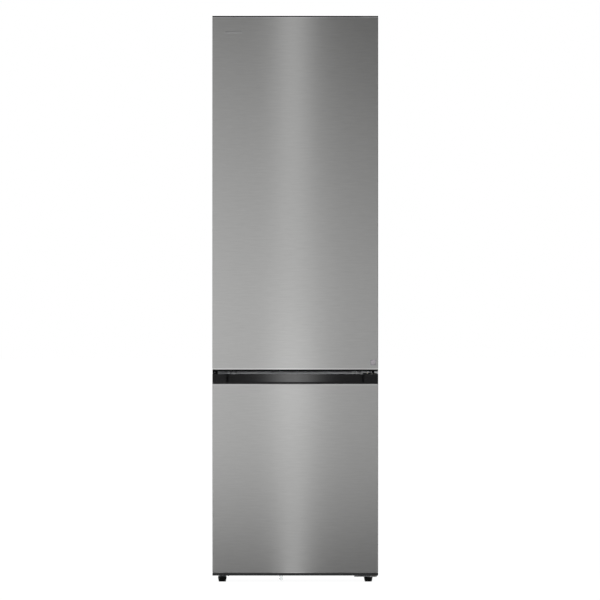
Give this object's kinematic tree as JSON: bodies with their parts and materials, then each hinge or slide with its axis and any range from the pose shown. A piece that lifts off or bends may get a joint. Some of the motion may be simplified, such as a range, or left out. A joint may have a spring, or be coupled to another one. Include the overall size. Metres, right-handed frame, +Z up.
{
  "type": "fridge freezer",
  "caption": "Tall free-standing fridge freezer: steel fridge door above, freezer door with a recessed dark grip below, on levelling feet.",
  "frame": {"origin": "on the floor, in the middle of the overall width and depth", "axes": "+X to the right of someone facing the doors, +Y to the back, +Z up; the doors face -Y"},
  "size_m": [0.595, 0.663, 2.03],
  "materials": {
    "brushed_steel": "horizontally brushed, with a clear coat",
    "painted_shell": "silver-grey powder paint",
    "galvanised_sheet": "galvanised sheet",
    "hinge_steel": "zinc-plated pressing",
    "dark_hinge_steel": "black-passivated pressing",
    "foam": "rigid foam",
    "white_liner": "vacuum-formed sheet",
    "dark_gloss_plastic": "dark moulding, semi-gloss",
    "black_plastic": "fine-textured moulding",
    "grey_plastic": "moulding",
    "bush_plastic": "acetal",
    "white_tube": "moulding",
    "grey_rubber": "soft magnetic seal",
    "black_enamel": "black enamel",
    "copper_pipe": "drawn copper",
    "shelf_glass": "toughened glass",
    "chrome_wire": "chromed wire",
    "lamp_diffuser": "opal diffuser",
    "clear_plastic": "clear moulding"
  },
  "bodies": {
    "cabinet": {"left_side_panel": "painted_shell", "right_side_panel": "painted_shell", "top_panel": "painted_shell", "back_panel": "galvanised_sheet", "base_pan": "galvanised_sheet", "cabinet_foam": "foam", "fridge_liner": "white_liner", "freezer_liner": "white_liner", "mullion_rail": "galvanised_sheet", "top_hinge": "dark_hinge_steel", "top_hinge_cover": "black_plastic", "middle_hinge": "hinge_steel", "bottom_hinge": "hinge_steel", "left_foot_bracket": "hinge_steel", "hinge_screws": "hinge_steel", "hinge_hole_plugs": "grey_plastic", "rear_roller_brackets": "galvanised_sheet", "compressor": "black_enamel", "relay_cover": "black_plastic", "evaporation_tray": "grey_plastic", "refrigerant_pipes": "copper_pipe", "cord_gland": "black_plastic", "drain_tube": "white_tube", "air_duct_panel": "white_liner", "control_panel": "white_liner", "lamp_lens": "lamp_diffuser", "fridge_shelf_1": "shelf_glass", "fridge_shelf_2": "shelf_glass", "fridge_shelf_3": "shelf_glass", "bottle_rack": "chrome_wire", "crisper_lid": "shelf_glass", "freezer_shelves": "shelf_glass", "freezer_duct_cover": "white_liner"},
    "fridge_door": {"fridge_door_skin": "brushed_steel", "fridge_door_top_cap": "black_plastic", "fridge_door_bottom_cap": "black_plastic", "fridge_door_liner": "white_liner", "fridge_door_foam": "foam", "fridge_door_gasket": "grey_rubber", "door_bin_1": "clear_plastic", "door_bin_2": "clear_plastic", "door_bin_3": "clear_plastic", "bottle_bin": "clear_plastic", "fridge_door_bushes": "bush_plastic"},
    "freezer_door": {"freezer_door_skin": "brushed_steel", "freezer_grip_rail": "dark_gloss_plastic", "freezer_door_bottom_cap": "black_plastic", "freezer_door_liner": "white_liner", "freezer_door_foam": "foam", "freezer_door_gasket": "grey_rubber", "freezer_door_bushes": "bush_plastic"},
    "left_foot": {"left_foot": "black_plastic"},
    "right_foot": {"right_foot": "black_plastic"},
    "left_roller": {"left_roller": "grey_plastic"},
    "right_roller": {"right_roller": "grey_plastic"},
    "crisper_drawer": {"crisper_drawer": "clear_plastic"},
    "freezer_drawer_top": {"freezer_drawer_top": "clear_plastic"},
    "freezer_drawer_middle": {"freezer_drawer_middle": "clear_plastic"},
    "freezer_drawer_bottom": {"freezer_drawer_bottom": "clear_plastic"},
    "set_key": {"set_key": "grey_plastic"}
  },
  "joints": [
    {"name": "fridge_door_hinge", "type": "hinge", "parent": "cabinet", "child": "fridge_door", "pos_m": [0.281, -0.3005, 1.4], "axis": [0, 0, 1], "range_deg": [0, 135]},
    {"name": "freezer_door_hinge", "type": "hinge", "parent": "cabinet", "child": "freezer_door", "pos_m": [0.281, -0.3005, 0.4], "axis": [0, 0, 1], "range_deg": [0, 135]},
    {"name": "crisper_slide", "type": "slide", "parent": "cabinet", "child": "crisper_drawer", "axis": [0, -1, 0], "range_m": [0, 0.26]},
    {"name": "freezer_top_slide", "type": "slide", "parent": "cabinet", "child": "freezer_drawer_top", "axis": [0, -1, 0], "range_m": [0, 0.202]},
    {"name": "freezer_middle_slide", "type": "slide", "parent": "cabinet", "child": "freezer_drawer_middle", "axis": [0, -1, 0], "range_m": [0, 0.202]},
    {"name": "freezer_bottom_slide", "type": "slide", "parent": "cabinet", "child": "freezer_drawer_bottom", "axis": [0, -1, 0], "range_m": [0, 0.202]},
    {"name": "left_foot_screw", "type": "slide", "parent": "cabinet", "child": "left_foot", "axis": [0, 0, -1], "range_m": [0, 0.012]},
    {"name": "right_foot_screw", "type": "slide", "parent": "cabinet", "child": "right_foot", "axis": [0, 0, -1], "range_m": [0, 0.012]},
    {"name": "left_roller_spin", "type": "hinge", "parent": "cabinet", "child": "left_roller", "pos_m": [-0.262, 0.2745, 0.015], "axis": [1, 0, 0], "continuous": true},
    {"name": "right_roller_spin", "type": "hinge", "parent": "cabinet", "child": "right_roller", "pos_m": [0.262, 0.2745, 0.015], "axis": [1, 0, 0], "continuous": true},
    {"name": "set_key_press", "type": "slide", "parent": "cabinet", "child": "set_key", "axis": [0, 1, 0], "range_m": [0, 0.001], "stiffness_N_per_m": 300}
  ],
  "couplings": [
    {"joint": "crisper_slide", "follows": "fridge_door_hinge", "m_per_rad": 0.11},
    {"joint": "freezer_top_slide", "follows": "freezer_door_hinge", "m_per_rad": 0.085},
    {"joint": "freezer_middle_slide", "follows": "freezer_door_hinge", "m_per_rad": 0.085},
    {"joint": "freezer_bottom_slide", "follows": "freezer_door_hinge", "m_per_rad": 0.085}
  ]
}
